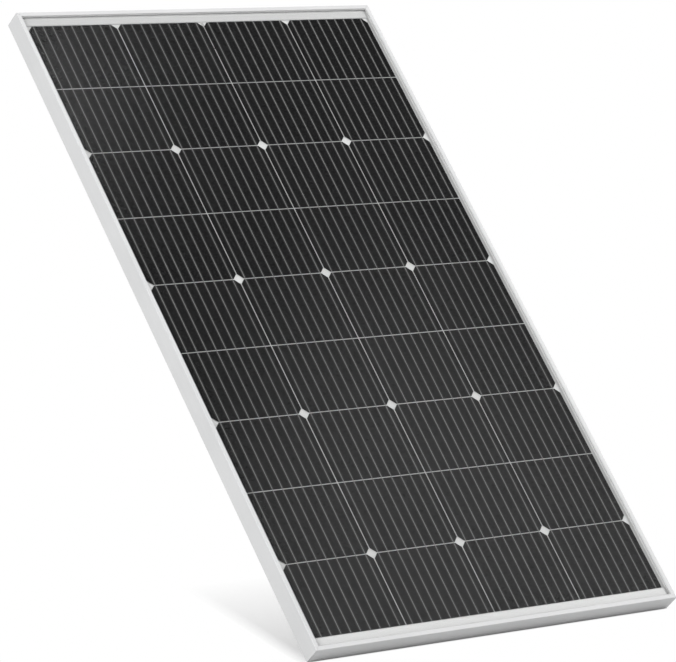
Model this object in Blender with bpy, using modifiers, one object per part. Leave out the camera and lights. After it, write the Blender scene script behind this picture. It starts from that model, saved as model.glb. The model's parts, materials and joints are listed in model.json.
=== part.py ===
"""A framed solar panel of cut monocrystalline cells, leaning back as it does on its mount.

Every piece is modelled with the panel lying flat: X across it, Y up its length and Z out
through the glass, from an origin in the middle of the rear mounting plane. One empty then
leans the whole panel back. Lengths are in metres.
"""

import math

import bmesh
import bpy
from mathutils import Matrix

MM = 0.001

# Whole panel
PANEL_WIDTH = 666 * MM
PANEL_LENGTH = 1130 * MM
FRAME_DEPTH = 30 * MM
PANEL_TILT = math.radians(49)

# Space left between pieces that touch, and between the sheets of the laminate
TOUCH = 0.3 * MM
FIT = 0.05 * MM

# Cells: three quarters of a square wafer each, so only one end keeps the wafer's cut corners
COLUMNS = 4
ROWS = 9
CELL_WIDTH = 158.75 * MM
CELL_HEIGHT = 0.75 * CELL_WIDTH
COLUMN_GAP = 2.0 * MM
ROW_GAP = 1.55 * MM
CORNER_CUT = 8.0 * MM
COLUMN_PITCH = CELL_WIDTH + COLUMN_GAP
ROW_PITCH = CELL_HEIGHT + ROW_GAP
FIELD_TOP = (ROWS * ROW_PITCH - ROW_GAP) / 2

# Solder ribbons on each cell: three-sided, so that they throw light back on to the silicon
RIBBONS = 9
RIBBON_PITCH = 17.2 * MM
RIBBON_WIDTH = 1.0 * MM
RIBBON_HEIGHT = 0.2 * MM
RIBBON_STEP = 1.2 * MM
REAR_RUN = 0.9 * CELL_HEIGHT
BUS_RUN = 6.5 * MM

# Frame rail, measured inwards from its outer face and up from its rear face
LIP_WIDTH = 7 * MM
LIP_THICKNESS = 1.5 * MM
WALL = 1.8 * MM
SHELF_WIDTH = 12 * MM
SHELF_TOP = 21.5 * MM
SHELF_THICKNESS = 1.6 * MM
FLANGE_WIDTH = 25 * MM
FLANGE_THICKNESS = 1.8 * MM
EDGE_BREAK = 0.5 * MM
MITRE_GAP = 0.15 * MM
LIP_UNDERSIDE = FRAME_DEPTH - LIP_THICKNESS

# Holes in the rear flanges: mounting slots and earthing holes in the long rails, drains in the short
HOLE_INSET = 18.5 * MM
SLOT_WIDTH = 9 * MM
SLOT_LENGTH = 14 * MM
SLOT_SPACING = 620 * MM
EARTH_HOLE_RADIUS = 2.1 * MM
EARTH_HOLE_OFFSET = 60 * MM
DRAIN_WIDTH = 4 * MM
DRAIN_LENGTH = 12 * MM
DRAIN_SPACING = 520 * MM

# Corner keys, pressed into the chambers of two rails
KEY_REACH = 46 * MM
KEY_TEETH = 6
KEY_TOOTH_PITCH = 5 * MM
KEY_TOOTH_RAMP = 4 * MM
KEY_TOOTH_DEPTH = 1.0 * MM

# Laminate, from the glass down
LAMINATE_INSET = 3.3 * MM
SEAL_INSET = 2.1 * MM
SEAL_LIP = 0.3 * MM
GLASS_THICKNESS = 3.2 * MM
FILM_THICKNESS = 0.45 * MM
WAFER_THICKNESS = 0.2 * MM
BUS_THICKNESS = 0.3 * MM
BACKSHEET_THICKNESS = 0.35 * MM
GLASS_TOP = LIP_UNDERSIDE - SEAL_LIP - 2 * FIT
FRONT_FILM_TOP = GLASS_TOP - GLASS_THICKNESS - FIT
WAFER_TOP = FRONT_FILM_TOP - FILM_THICKNESS - FIT - RIBBON_HEIGHT
BUS_TOP = WAFER_TOP - WAFER_THICKNESS - FIT
LEAD_TOP = BUS_TOP - BUS_THICKNESS - FIT
REAR_FILM_TOP = LEAD_TOP - BUS_THICKNESS - FIT
BACKSHEET_TOP = REAR_FILM_TOP - FILM_THICKNESS - FIT
LAMINATE_BOTTOM = BACKSHEET_TOP - BACKSHEET_THICKNESS

# Bus ribbons in the margins above and below the cells
BUS_WIDTH = 5 * MM
INNER_LINE = FIELD_TOP + 5.5 * MM
OUTER_LINE = FIELD_TOP + 13 * MM
BUS_OVERHANG = 4 * MM
TOOTH_REACH = 40 * MM
LEAD_SPACING = 34 * MM

# Junction box, glued to the backsheet
BOX_WIDTH = 112 * MM
BOX_LENGTH = 80 * MM
BOX_CENTRE = 470 * MM
BOX_CORNER = 7 * MM
BOX_WALL = 2.2 * MM
BOX_FLOOR = 2 * MM
BOX_RIM = 7.5 * MM
BOX_TOP = LAMINATE_BOTTOM - TOUCH
FOOT_MARGIN = 4 * MM
FOOT_THICKNESS = 1.6 * MM
WINDOW_WIDTH = 84 * MM
WINDOW_LENGTH = 8 * MM
WINDOW_OFFSET = 24 * MM
POST_SIZE = 9 * MM
POST_OFFSET = 12 * MM
POST_HEIGHT = 5 * MM
POST_TOP = BOX_TOP - BOX_FLOOR - POST_HEIGHT
PORT_RADIUS = 6.5 * MM
PORT_LENGTH = 5 * MM
PORT_BORE = 3.6 * MM
PORT_OFFSET = -22 * MM
PORT_LEVEL = 14 * MM
NUT_RADIUS = 7.4 * MM
NUT_LENGTH = 11 * MM
NUT_RIBS = 12
NUT_RIB_DEPTH = 0.7 * MM
DIODE_RADIUS = 2.7 * MM
DIODE_LENGTH = 9.5 * MM
DIODE_LEAD_RADIUS = 0.65 * MM

# Lid of the junction box and its snap-in hinge
LID_THICKNESS = 2.2 * MM
LID_RIDGE_HEIGHT = 2 * MM
LID_RIDGE_WIDTH = 1.6 * MM
LID_RIDGE_CLEARANCE = 0.4 * MM
LID_PANEL_WIDTH = 88 * MM
LID_PANEL_LENGTH = 56 * MM
LID_PANEL_HEIGHT = 0.8 * MM
HINGE_OUTSET = 3.6 * MM
HINGE_PIN_RADIUS = LID_THICKNESS / 2
HINGE_CLEARANCE = 0.35 * MM
HOOK_WALL = 1.2 * MM
HOOK_WIDTH = 8 * MM
HOOK_OFFSET = 30 * MM
HOOK_GRIP = math.radians(20)
ARM_WIDTH = 2.4 * MM
ARM_THICKNESS = 2.0 * MM
ARM_CLEARANCE = 0.5 * MM
HINGE_Y = BOX_CENTRE + BOX_LENGTH / 2 + HINGE_OUTSET
HINGE_Z = BOX_RIM - TOUCH - LID_THICKNESS / 2
THUMB_WIDTH = 22 * MM
THUMB_REACH = 3 * MM
THUMB_THICKNESS = 1.4 * MM

ROUND_SIDES = 16
CORNER_STEPS = 4
HOOK_STEPS = 8
DIODE_SIDES = 12
WELD = 0.001 * MM
FLAT = math.radians(0.1)
QUARTER_TURN = math.pi / 2


def add_collection(name):
    collection = bpy.data.collections.new(name)
    bpy.context.scene.collection.children.link(collection)
    return collection


def add_material(name, colour, roughness, metallic=0.0, alpha=1.0):
    material = bpy.data.materials.new(name)
    material.use_nodes = True
    shader = material.node_tree.nodes["Principled BSDF"]
    shader.inputs["Base Color"].default_value = (*colour, 1.0)
    shader.inputs["Roughness"].default_value = roughness
    shader.inputs["Metallic"].default_value = metallic
    shader.inputs["Alpha"].default_value = alpha
    return material


def add_part(name, mesh, material, parent, location=(0, 0, 0), turn=0.0):
    """One named piece of the panel, turned about its own Z and placed under its parent."""
    part = bpy.data.objects.new(name, mesh)
    if not mesh.materials:
        mesh.materials.append(material)
    parts.objects.link(part)
    part.parent = parent
    part.location = location
    part.rotation_euler.z = turn
    return part


def add_tool(name, mesh, parent, location=(0, 0, 0)):
    """A helper shape that only cuts a piece or joins on to it."""
    tool = bpy.data.objects.new(name, mesh)
    tools.objects.link(tool)
    tool.parent = parent
    tool.location = location
    tool.hide_render = True
    tool.display_type = "WIRE"
    return tool


def combine(part, operation, tool, solver="EXACT"):
    modifier = part.modifiers.new(tool.name, "BOOLEAN")
    modifier.operation = operation
    modifier.solver = solver
    modifier.object = tool


def tidy_mesh(shape, name):
    """Welds a bmesh, points its faces outwards and stores it as a mesh."""
    bmesh.ops.remove_doubles(shape, verts=shape.verts, dist=WELD)
    bmesh.ops.recalc_face_normals(shape, faces=shape.faces)
    mesh = bpy.data.meshes.new(name)
    shape.to_mesh(mesh)
    shape.free()
    return mesh


def block(width, length, low, high, name="block"):
    """A box centred on Z, from one height to another."""
    shape = bmesh.new()
    size = Matrix.Diagonal((width, length, high - low, 1))
    place = Matrix.Translation((0, 0, (low + high) / 2))
    bmesh.ops.create_cube(shape, size=1, matrix=place @ size)
    return tidy_mesh(shape, name)


def rod(radius, length, name="rod"):
    """A cylinder along X."""
    shape = bmesh.new()
    bmesh.ops.create_cone(
        shape,
        cap_ends=True,
        segments=ROUND_SIDES,
        radius1=radius,
        radius2=radius,
        depth=length,
        matrix=Matrix.Rotation(QUARTER_TURN, 4, "Y"),
    )
    return tidy_mesh(shape, name)


def plate(outlines, low, high, name="plate"):
    """A flat outline with any holes, filled from one height to another.

    It is drawn as a 2D curve in millimetres, because fine outlines fill badly in metres, and
    the slivers that fill its two faces are dissolved again.
    """
    curve = bpy.data.curves.new(name, "CURVE")
    curve.dimensions = "2D"
    curve.fill_mode = "BOTH"
    curve.extrude = (high - low) / 2 / MM
    for outline in outlines:
        spline = curve.splines.new("POLY")
        spline.points.add(len(outline) - 1)
        for point, (x, y) in zip(spline.points, outline):
            point.co = (x / MM, y / MM, 0, 1)
        spline.use_cyclic_u = True
    drawn = bpy.data.objects.new(name, curve)
    bpy.context.scene.collection.objects.link(drawn)
    graph = bpy.context.evaluated_depsgraph_get()
    filled = bpy.data.meshes.new_from_object(drawn.evaluated_get(graph))
    filled.transform(Matrix.Translation((0, 0, (low + high) / 2)) @ Matrix.Scale(MM, 4))
    shape = bmesh.new()
    shape.from_mesh(filled)
    bmesh.ops.remove_doubles(shape, verts=shape.verts, dist=WELD)
    bmesh.ops.dissolve_limit(shape, angle_limit=FLAT, verts=shape.verts, edges=shape.edges)
    bpy.data.objects.remove(drawn)
    bpy.data.curves.remove(curve)
    bpy.data.meshes.remove(filled)
    return tidy_mesh(shape, name)


def side_plate(outline, width, name="side_plate"):
    """An outline drawn in the Y and Z plane and given a width along X."""
    mesh = plate([outline], -width / 2, width / 2, name)
    mesh.transform(Matrix(((0, 0, 1, 0), (1, 0, 0, 0), (0, 1, 0, 0), (0, 0, 0, 1))))
    return mesh


def arc(centre, radius, start, end, steps):
    """Points along an arc, both ends included."""
    angles = [start + (end - start) * step / steps for step in range(steps + 1)]
    return [(centre[0] + radius * math.cos(a), centre[1] + radius * math.sin(a)) for a in angles]


def rounded_rectangle(width, length, radius):
    corners = ((1, -1), (1, 1), (-1, 1), (-1, -1))
    points = []
    for index, (side, end) in enumerate(corners):
        centre = (side * (width / 2 - radius), end * (length / 2 - radius))
        start = (index - 1) * QUARTER_TURN
        points += arc(centre, radius, start, start + QUARTER_TURN, CORNER_STEPS)
    return points


def circle(radius, sides=ROUND_SIDES):
    return arc((0, 0), radius, 0, 2 * math.pi * (1 - 1 / sides), sides - 1)


def stadium(width, length):
    """A slot with round ends that runs along Y."""
    reach = (length - width) / 2
    steps = ROUND_SIDES // 2
    upper = arc((0, reach), width / 2, 0, math.pi, steps)
    return upper + arc((0, -reach), width / 2, math.pi, 2 * math.pi, steps)


def rail_mesh(length):
    """The frame extrusion along Y, outer face on X = 0, with both ends cut to a mitre."""
    outline = [
        (0, 0),
        (FLANGE_WIDTH, 0),
        (FLANGE_WIDTH, FLANGE_THICKNESS),
        (SHELF_WIDTH, FLANGE_THICKNESS),
        (SHELF_WIDTH, SHELF_TOP),
        (WALL, SHELF_TOP),
        (WALL, LIP_UNDERSIDE),
        (LIP_WIDTH, LIP_UNDERSIDE),
        (LIP_WIDTH, FRAME_DEPTH - EDGE_BREAK),
        (LIP_WIDTH - EDGE_BREAK, FRAME_DEPTH),
        (EDGE_BREAK, FRAME_DEPTH),
        (0, FRAME_DEPTH - EDGE_BREAK),
    ]
    chamber_top = SHELF_TOP - SHELF_THICKNESS
    chamber = [
        (WALL, FLANGE_THICKNESS),
        (SHELF_WIDTH - WALL, FLANGE_THICKNESS),
        (SHELF_WIDTH - WALL, chamber_top),
        (WALL, chamber_top),
    ]
    mesh = plate([outline, chamber], -length / 2, length / 2, "rail")
    for vertex in mesh.vertices:
        mitred_end = length / 2 - vertex.co.x - MITRE_GAP
        vertex.co.z = math.copysign(mitred_end, vertex.co.z)
    mesh.transform(Matrix.Rotation(QUARTER_TURN, 4, "X"))
    return mesh


def build_frame():
    sides = {
        "left": (PANEL_LENGTH, (-PANEL_WIDTH / 2, 0, 0), 0),
        "bottom": (PANEL_WIDTH, (0, -PANEL_LENGTH / 2, 0), QUARTER_TURN),
        "right": (PANEL_LENGTH, (PANEL_WIDTH / 2, 0, 0), 2 * QUARTER_TURN),
        "top": (PANEL_WIDTH, (0, PANEL_LENGTH / 2, 0), 3 * QUARTER_TURN),
    }
    rails = {}
    for side, (length, place, turn) in sides.items():
        rails[side] = add_part(f"frame_rail_{side}", rail_mesh(length), aluminium, lean, place, turn)
    slot = stadium(SLOT_WIDTH, SLOT_LENGTH)
    drain = [(y, x) for x, y in stadium(DRAIN_WIDTH, DRAIN_LENGTH)]
    for side, sign in (("left", -1), ("right", 1)):
        x = sign * (PANEL_WIDTH / 2 - HOLE_INSET)
        earth_y = SLOT_SPACING / 2 - EARTH_HOLE_OFFSET
        pierce(rails[side], f"earth_hole_{side}", circle(EARTH_HOLE_RADIUS), x, earth_y)
        for end, way in (("bottom", -1), ("top", 1)):
            y = way * (PANEL_LENGTH / 2 - HOLE_INSET)
            pierce(rails[side], f"slot_{side}_{end}", slot, x, way * SLOT_SPACING / 2)
            pierce(rails[end], f"drain_{end}_{side}", drain, sign * DRAIN_SPACING / 2, y)


def pierce(rail, name, outline, x, y):
    """One hole straight through a rail's rear flange."""
    hole = plate([outline], -FLANGE_THICKNESS, 2 * FLANGE_THICKNESS)
    combine(rail, "DIFFERENCE", add_tool(name, hole, lean, (x, y, 0)))


def key_leg(start):
    """The toothed inner edge of one leg of a corner key, from its heel out to its tip."""
    points = []
    for tooth in range(KEY_TEETH):
        foot = start + tooth * KEY_TOOTH_PITCH
        points += [(foot, -KEY_TOOTH_DEPTH), (foot + KEY_TOOTH_RAMP, 0)]
    return points


def build_corner_keys():
    """An L of two barbed legs in each corner, filling the chambers of the rails that meet there."""
    heel = WALL + TOUCH
    face = SHELF_WIDTH - WALL - TOUCH
    leg = key_leg(face + KEY_TOOTH_PITCH)
    along_x = [(x, face + y) for x, y in leg]
    along_y = [(face + y, x) for x, y in reversed(leg)]
    tips = [(heel, KEY_REACH), (heel, heel), (KEY_REACH, heel)]
    outline = tips + [(KEY_REACH, face)] + along_x[::-1] + [(face, face)] + along_y[::-1]
    outline.append((face, KEY_REACH))
    low = FLANGE_THICKNESS + TOUCH
    high = SHELF_TOP - SHELF_THICKNESS - TOUCH
    corners = (
        ("bottom_left", -1, -1, 0),
        ("bottom_right", 1, -1, 1),
        ("top_right", 1, 1, 2),
        ("top_left", -1, 1, 3),
    )
    mesh = plate([outline], low, high, "corner_key")
    for corner, side, end, turns in corners:
        place = (side * PANEL_WIDTH / 2, end * PANEL_LENGTH / 2, 0)
        add_part(f"corner_key_{corner}", mesh, cast_metal, lean, place, turns * QUARTER_TURN)


def build_laminate():
    width = PANEL_WIDTH - 2 * LAMINATE_INSET
    length = PANEL_LENGTH - 2 * LAMINATE_INSET
    glass = block(width, length, GLASS_TOP - GLASS_THICKNESS, GLASS_TOP)
    glass_part = add_part("front_glass", glass, clear_glass, lean)
    arris = glass_part.modifiers.new("arris", "BEVEL")
    arris.width = EDGE_BREAK
    arris.segments = 1
    front_film = block(width, length, FRONT_FILM_TOP - FILM_THICKNESS, FRONT_FILM_TOP)
    add_part("front_encapsulant", front_film, clear_film, lean)
    rear_film = block(width, length, REAR_FILM_TOP - FILM_THICKNESS, REAR_FILM_TOP)
    backsheet = block(width, length, LAMINATE_BOTTOM, BACKSHEET_TOP)
    window = block(WINDOW_WIDTH, WINDOW_LENGTH, BOX_RIM, LEAD_TOP)
    window_tool = add_tool("lead_window", window, lean, (0, BOX_CENTRE + WINDOW_OFFSET, 0))
    combine(add_part("rear_encapsulant", rear_film, white_film, lean), "DIFFERENCE", window_tool)
    combine(add_part("backsheet", backsheet, white_sheet, lean), "DIFFERENCE", window_tool)
    return window_tool


def build_edge_seal():
    """A channel of sealant all round, folded over the laminate's edge inside the rails."""
    low, high = SHELF_TOP + FIT, LIP_UNDERSIDE - FIT
    width, length = PANEL_WIDTH - 2 * SEAL_INSET, PANEL_LENGTH - 2 * SEAL_INSET
    seal = add_part("edge_seal", block(width, length, low, high), sealant, lean)
    fold = 2 * (LAMINATE_INSET - SEAL_INSET - TOUCH)
    groove = block(width - fold, length - fold, LAMINATE_BOTTOM - FIT, GLASS_TOP + FIT)
    mouth = 2 * (LIP_WIDTH - SEAL_INSET - EDGE_BREAK)
    opening = block(width - mouth, length - mouth, low - MM, high + MM)
    combine(seal, "DIFFERENCE", add_tool("laminate_groove", groove, lean))
    combine(seal, "DIFFERENCE", add_tool("seal_opening", opening, lean))


def column_x(column):
    return (column - (COLUMNS - 1) / 2) * COLUMN_PITCH


def ribbon_centres():
    return [(index - (RIBBONS - 1) / 2) * RIBBON_PITCH for index in range(RIBBONS)]


def cut_corner(shape, side, end):
    """Slices a cell's corner off at 45 degrees and closes the cut."""
    middle = (side * (CELL_WIDTH - CORNER_CUT) / 2, end * (CELL_HEIGHT - CORNER_CUT) / 2, 0)
    everything = shape.verts[:] + shape.edges[:] + shape.faces[:]
    cut = bmesh.ops.bisect_plane(
        shape, geom=everything, plane_co=middle, plane_no=(side, end, 0), clear_outer=True
    )
    rim = [item for item in cut["geom_cut"] if isinstance(item, bmesh.types.BMEdge)]
    bmesh.ops.edgeloop_fill(shape, edges=rim)


def push_out(shape, faces, move):
    """Extrudes loose end faces by one vector and returns the new ends."""
    grown = bmesh.ops.extrude_discrete_faces(shape, faces=faces)["faces"]
    corners = list({vertex for face in grown for vertex in face.verts})
    bmesh.ops.translate(shape, verts=corners, vec=move)
    return grown


def cell_mesh(cut_at_tail, ends_string):
    """A wafer with its front ribbons, which run on past its tail, at -Y, to the next cell.

    Each ribbon steps down through the gap and runs on under the next cell. On the last cell of
    a string it stops on top of the bus ribbon instead.
    """
    half = CELL_WIDTH / 2
    profile = [(-half, -WAFER_THICKNESS), (half, -WAFER_THICKNESS), (half, 0)]
    for x in reversed(ribbon_centres()):
        profile += [(x + RIBBON_WIDTH / 2, 0), (x, RIBBON_HEIGHT), (x - RIBBON_WIDTH / 2, 0)]
    profile.append((-half, 0))
    shape = bmesh.new()
    head = shape.faces.new([shape.verts.new((x, CELL_HEIGHT / 2, z)) for x, z in profile])
    grown = bmesh.ops.extrude_face_region(shape, geom=[head])["geom"]
    tail = next(item for item in grown if isinstance(item, bmesh.types.BMFace))
    bmesh.ops.translate(shape, verts=tail.verts, vec=(0, -CELL_HEIGHT, 0))
    ribbon_ends = []
    for crest in [vertex for vertex in tail.verts if vertex.co.z > RIBBON_HEIGHT / 2]:
        feet = [edge.other_vert(crest) for edge in crest.link_edges if edge in tail.edges]
        halves = (bmesh.utils.face_split(tail, *feet)[0], tail)
        ribbon_end, tail = sorted(halves, key=lambda face: len(face.verts))
        ribbon_ends.append(ribbon_end)
    drop = WAFER_THICKNESS if ends_string else WAFER_THICKNESS + RIBBON_HEIGHT + FIT
    run = BUS_RUN if ends_string else REAR_RUN
    ribbon_ends = push_out(shape, ribbon_ends, (0, -RIBBON_STEP, -drop))
    push_out(shape, ribbon_ends, (0, -run, 0))
    for side in (-1, 1):
        cut_corner(shape, side, -1 if cut_at_tail else 1)
    return tidy_mesh(shape, "cell")


def build_cells():
    """Four strings of nine, the first and third running down and the others back up."""
    shapes = {}
    for column in range(COLUMNS):
        runs_down = column % 2 == 0
        for row in range(ROWS):
            cut_at_top = row % 2 == 0
            ends_string = row == (ROWS - 1 if runs_down else 0)
            kind = (cut_at_top != runs_down, ends_string)
            if kind not in shapes:
                shapes[kind] = cell_mesh(*kind)
            place = (column_x(column), ((ROWS - 1) / 2 - row) * ROW_PITCH, WAFER_TOP)
            turn = 0 if runs_down else math.pi
            name = f"cell_{column + 1}_{row + 1}"
            add_part(name, shapes[kind], silicon, lean, place, turn)


def bus_comb(start_x, end_x, toothed_column, lead_x=None):
    """Outline of a bus ribbon above the cells, with teeth that reach under one column's end cell.

    Where it has a lead to carry to the junction box it jogs out to the outer line.
    """
    low, high = INNER_LINE - BUS_WIDTH / 2, INNER_LINE + BUS_WIDTH / 2
    outline = [(start_x, high), (start_x, low)]
    if toothed_column is not None:
        for offset in ribbon_centres():
            x = column_x(toothed_column) + offset
            left, right = x - RIBBON_WIDTH / 2, x + RIBBON_WIDTH / 2
            tip = FIELD_TOP - TOOTH_REACH
            outline += [(left, low), (left, tip), (right, tip), (right, low)]
    outline.append((end_x, low))
    if lead_x is None:
        return outline + [(end_x, high)]
    outer_low, outer_high = OUTER_LINE - BUS_WIDTH / 2, OUTER_LINE + BUS_WIDTH / 2
    return outline + [
        (end_x, outer_low),
        (lead_x, outer_low),
        (lead_x, outer_high),
        (end_x - BUS_WIDTH, outer_high),
        (end_x - BUS_WIDTH, high),
    ]


def box_lead(line):
    """Side outline of a lead: down behind the cells, out through the window and over a post."""
    top, bottom = LEAD_TOP, LEAD_TOP - BUS_THICKNESS
    exit_y = BOX_CENTRE + WINDOW_OFFSET
    post_y = BOX_CENTRE + POST_OFFSET - POST_SIZE / 2
    rest = POST_TOP - TOUCH
    root = line - BUS_WIDTH / 4
    return [
        (root, top),
        (root, BUS_TOP - BUS_THICKNESS / 2),
        (line + BUS_WIDTH / 4, BUS_TOP - BUS_THICKNESS / 2),
        (line + BUS_WIDTH / 4, bottom),
        (exit_y, bottom),
        (exit_y, rest - BUS_THICKNESS),
        (post_y, rest - BUS_THICKNESS),
        (post_y, rest),
        (exit_y - BUS_THICKNESS, rest),
        (exit_y - BUS_THICKNESS, top),
    ]


def mirrored(outline, flip_x=1, flip_y=1):
    return [(flip_x * x, flip_y * y) for x, y in outline]


def build_bus_ribbons():
    reach = CELL_WIDTH / 2 - BUS_OVERHANG
    lead_edge = -LEAD_SPACING + BUS_WIDTH
    end_bus = (column_x(0) - reach, column_x(0) + reach)
    outlines = {
        "top_left": bus_comb(*end_bus, 0, lead_edge),
        "top_middle": bus_comb(column_x(1) - reach, column_x(2) + reach, 2),
        "top_right": mirrored(bus_comb(*end_bus, None, lead_edge), flip_x=-1),
        "bottom_left": mirrored(bus_comb(column_x(0) - reach, column_x(1) + reach, 1), flip_y=-1),
        "bottom_right": mirrored(bus_comb(column_x(2) - reach, column_x(3) + reach, 3), flip_y=-1),
    }
    leads = {
        "top_left": (-LEAD_SPACING, OUTER_LINE),
        "top_middle": (0, INNER_LINE),
        "top_right": (LEAD_SPACING, OUTER_LINE),
    }
    for place, outline in outlines.items():
        bus = plate([outline], BUS_TOP - BUS_THICKNESS, BUS_TOP, "bus_ribbon")
        part = add_part(f"bus_ribbon_{place}", bus, tinned_copper, lean)
        if place in leads:
            x, line = leads[place]
            lead = side_plate(box_lead(line), BUS_WIDTH)
            # The teeth's feet lie on one line, which only this solver joins cleanly.
            combine(part, "UNION", add_tool(f"lead_{place}", lead, lean, (x, 0, 0)), "MANIFOLD")


def build_box_base(window_tool):
    """The glued tray: foot, walls, terminal posts, cable ports and hinge hooks in one moulding."""
    foot_outline = rounded_rectangle(
        BOX_WIDTH + 2 * FOOT_MARGIN, BOX_LENGTH + 2 * FOOT_MARGIN, BOX_CORNER + FOOT_MARGIN
    )
    foot = plate([foot_outline], BOX_TOP - FOOT_THICKNESS, BOX_TOP)
    base = add_part("junction_box_base", foot, black_plastic, lean, (0, BOX_CENTRE, 0))
    outer = rounded_rectangle(BOX_WIDTH, BOX_LENGTH, BOX_CORNER)
    body = plate([outer], BOX_RIM, BOX_TOP - FOOT_THICKNESS / 2)
    combine(base, "UNION", add_tool("box_body", body, base))
    for side, sign in (("left", -1), ("right", 1)):
        port = rod(PORT_RADIUS, 2 * PORT_LENGTH)
        place = (sign * BOX_WIDTH / 2, PORT_OFFSET, PORT_LEVEL)
        combine(base, "UNION", add_tool(f"port_{side}", port, base, place))
        hook = side_plate(hinge_hook(), HOOK_WIDTH)
        place = (sign * HOOK_OFFSET, HINGE_Y - BOX_CENTRE, HINGE_Z)
        combine(base, "UNION", add_tool(f"hinge_hook_{side}", hook, base, place))
    inner = rounded_rectangle(
        BOX_WIDTH - 2 * BOX_WALL, BOX_LENGTH - 2 * BOX_WALL, BOX_CORNER - BOX_WALL
    )
    cavity = plate([inner], BOX_RIM - MM, BOX_TOP - BOX_FLOOR)
    combine(base, "DIFFERENCE", add_tool("box_cavity", cavity, base))
    for index in range(-1, 2):
        post = block(POST_SIZE, POST_SIZE, POST_TOP, BOX_TOP - BOX_FLOOR / 2)
        place = (index * LEAD_SPACING, POST_OFFSET, 0)
        combine(base, "UNION", add_tool(f"post_{index + 2}", post, base, place))
    combine(base, "DIFFERENCE", window_tool)
    bore = rod(PORT_BORE, BOX_WIDTH + 4 * PORT_LENGTH)
    combine(base, "DIFFERENCE", add_tool("port_bore", bore, base, (0, PORT_OFFSET, PORT_LEVEL)))


def hinge_hook():
    """Side outline of a hook round the lid's pin, open to the rear, on a neck from the box wall."""
    inner = HINGE_PIN_RADIUS + HINGE_CLEARANCE
    outer = inner + HOOK_WALL
    start, end = -HOOK_GRIP, math.pi + HOOK_GRIP
    wall_y = -HINGE_OUTSET - BOX_WALL / 2
    neck_low, neck_top = inner + HOOK_WALL / 4, outer + HOOK_WALL
    ring = arc((0, 0), inner, start, end, HOOK_STEPS)
    left_side = [(-outer, outer * math.sin(end)), (-outer, neck_low), (wall_y, neck_low)]
    right_side = [(wall_y, neck_top), (0, neck_top), (outer, 0), (outer, outer * math.sin(start))]
    return ring + left_side + right_side


def build_gland_nuts():
    """A ribbed cap on each cable port, bored right through for the cable."""
    flutes = 2 * NUT_RIBS
    radii = (NUT_RADIUS, NUT_RADIUS - NUT_RIB_DEPTH)
    outline = []
    for index in range(flutes):
        angle = 2 * math.pi * index / flutes
        radius = radii[index % 2]
        outline.append((radius * math.cos(angle), radius * math.sin(angle)))
    ring = plate([outline, circle(PORT_BORE)], -NUT_LENGTH / 2, NUT_LENGTH / 2, "gland_nut")
    ring.transform(Matrix.Rotation(QUARTER_TURN, 4, "Y"))
    reach = BOX_WIDTH / 2 + PORT_LENGTH + TOUCH + NUT_LENGTH / 2
    for side, sign in (("left", -1), ("right", 1)):
        place = (sign * reach, BOX_CENTRE + PORT_OFFSET, PORT_LEVEL)
        add_part(f"gland_nut_{side}", ring, black_plastic, lean, place)


def diode_mesh():
    """Half the profile of an axial diode, from its axis out, for a Screw modifier about X."""
    lead_end = LEAD_SPACING / 2 - POST_SIZE / 2 - TOUCH
    profile = [
        (lead_end, 0),
        (lead_end, DIODE_LEAD_RADIUS),
        (DIODE_LENGTH / 2, DIODE_LEAD_RADIUS),
        (DIODE_LENGTH / 2, DIODE_RADIUS),
        (-DIODE_LENGTH / 2, DIODE_RADIUS),
        (-DIODE_LENGTH / 2, DIODE_LEAD_RADIUS),
        (-lead_end, DIODE_LEAD_RADIUS),
        (-lead_end, 0),
    ]
    mesh = bpy.data.meshes.new("diode")
    edges = [(index, index + 1) for index in range(len(profile) - 1)]
    mesh.from_pydata([(x, 0, radius) for x, radius in profile], edges, [])
    return mesh


def build_diodes():
    level = BOX_TOP - BOX_FLOOR - DIODE_RADIUS - TOUCH
    for side, sign in (("left", -1), ("right", 1)):
        place = (sign * LEAD_SPACING / 2, BOX_CENTRE + POST_OFFSET, level)
        diode = add_part(f"bypass_diode_{side}", diode_mesh(), black_plastic, lean, place)
        turned = diode.modifiers.new("turned", "SCREW")
        turned.axis = "X"
        turned.steps = turned.render_steps = DIODE_SIDES
        turned.use_merge_vertices = True
        turned.merge_threshold = WELD


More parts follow.
